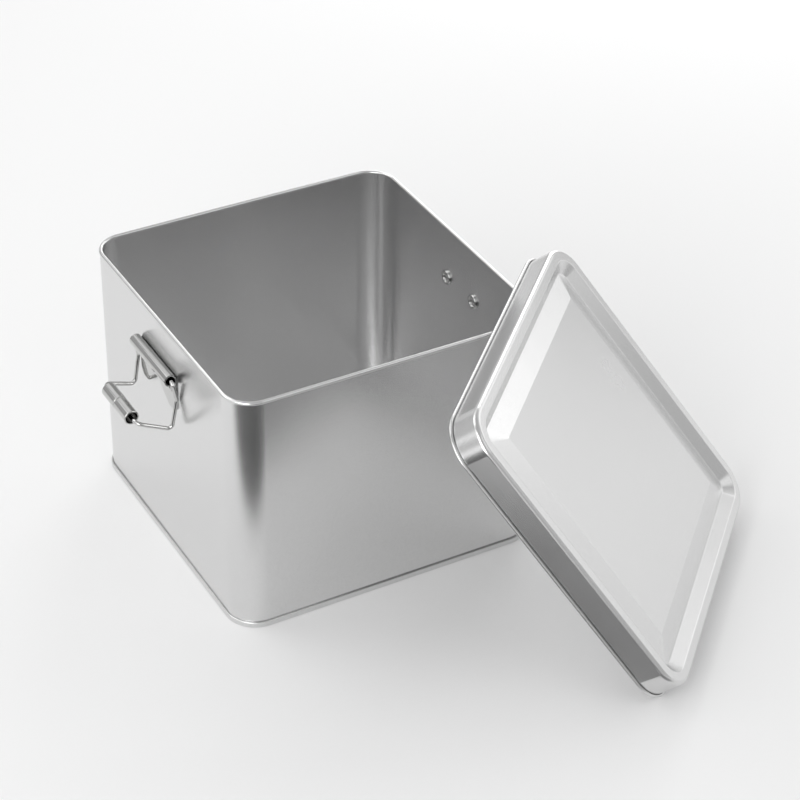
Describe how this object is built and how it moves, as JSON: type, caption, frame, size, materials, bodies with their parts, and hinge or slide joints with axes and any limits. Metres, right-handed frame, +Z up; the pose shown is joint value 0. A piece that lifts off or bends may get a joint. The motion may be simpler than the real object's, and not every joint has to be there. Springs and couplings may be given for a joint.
{
  "type": "metal lunch box",
  "caption": "Square metal lunch box with a rolled rim, a loose pressed lid leaning on a corner, and a swinging wire clip on each side that snaps into the lid's recess.",
  "frame": {"origin": "middle of the base seam's footprint, on the surface that the box stands on", "axes": "+Z up out of the box's mouth; +X towards the right clip; +Y towards the back; the lid leans at the front right corner"},
  "size_m": [0.3016, 0.3173, 0.145],
  "materials": {
    "tinplate_shell": "satin tinplate",
    "tinplate_base": "satin tinplate",
    "tinplate_lid": "satin tinplate",
    "plated_hinge": "bright nickel plate",
    "plated_wire": "bright nickel plate",
    "plated_sleeve": "bright nickel plate",
    "rivet": "plated tubular rivet"
  },
  "bodies": {
    "box": {"body_shell": "tinplate_shell", "base_panel": "tinplate_base", "left_hinge_plate": "plated_hinge", "left_front_rivet": "rivet", "left_back_rivet": "rivet", "right_hinge_plate": "plated_hinge", "right_front_rivet": "rivet", "right_back_rivet": "rivet"},
    "lid": {"lid": "tinplate_lid"},
    "left_clip": {"left_clip_wire": "plated_wire"},
    "left_front_sleeve": {"left_front_sleeve": "plated_sleeve"},
    "left_back_sleeve": {"left_back_sleeve": "plated_sleeve"},
    "right_clip": {"right_clip_wire": "plated_wire"},
    "right_front_sleeve": {"right_front_sleeve": "plated_sleeve"},
    "right_back_sleeve": {"right_back_sleeve": "plated_sleeve"}
  },
  "joints": [
    {"name": "lid_lift", "type": "slide", "parent": "box", "child": "lid", "axis": [0, 0, 1], "range_m": [0, 0.16]},
    {"name": "left_clip_swing", "type": "hinge", "parent": "box", "child": "left_clip", "pos_m": [-0.0883, 0.0022, 0.1124], "axis": [0, 1, 0], "range_deg": [-1, 168.6]},
    {"name": "left_front_sleeve_spin", "type": "hinge", "parent": "left_clip", "child": "left_front_sleeve", "pos_m": [-0.1068, -0.00485, 0.0922], "axis": [0, 1, 0], "continuous": true},
    {"name": "left_back_sleeve_spin", "type": "hinge", "parent": "left_clip", "child": "left_back_sleeve", "pos_m": [-0.1068, 0.00925, 0.0922], "axis": [0, 1, 0], "continuous": true},
    {"name": "right_clip_swing", "type": "hinge", "parent": "box", "child": "right_clip", "pos_m": [0.0883, -0.0022, 0.1124], "axis": [0, -1, 0], "range_deg": [-1, 168.6]},
    {"name": "right_front_sleeve_spin", "type": "hinge", "parent": "right_clip", "child": "right_front_sleeve", "pos_m": [0.1068, -0.00925, 0.0922], "axis": [0, 1, 0], "continuous": true},
    {"name": "right_back_sleeve_spin", "type": "hinge", "parent": "right_clip", "child": "right_back_sleeve", "pos_m": [0.1068, 0.00485, 0.0922], "axis": [0, 1, 0], "continuous": true}
  ]
}
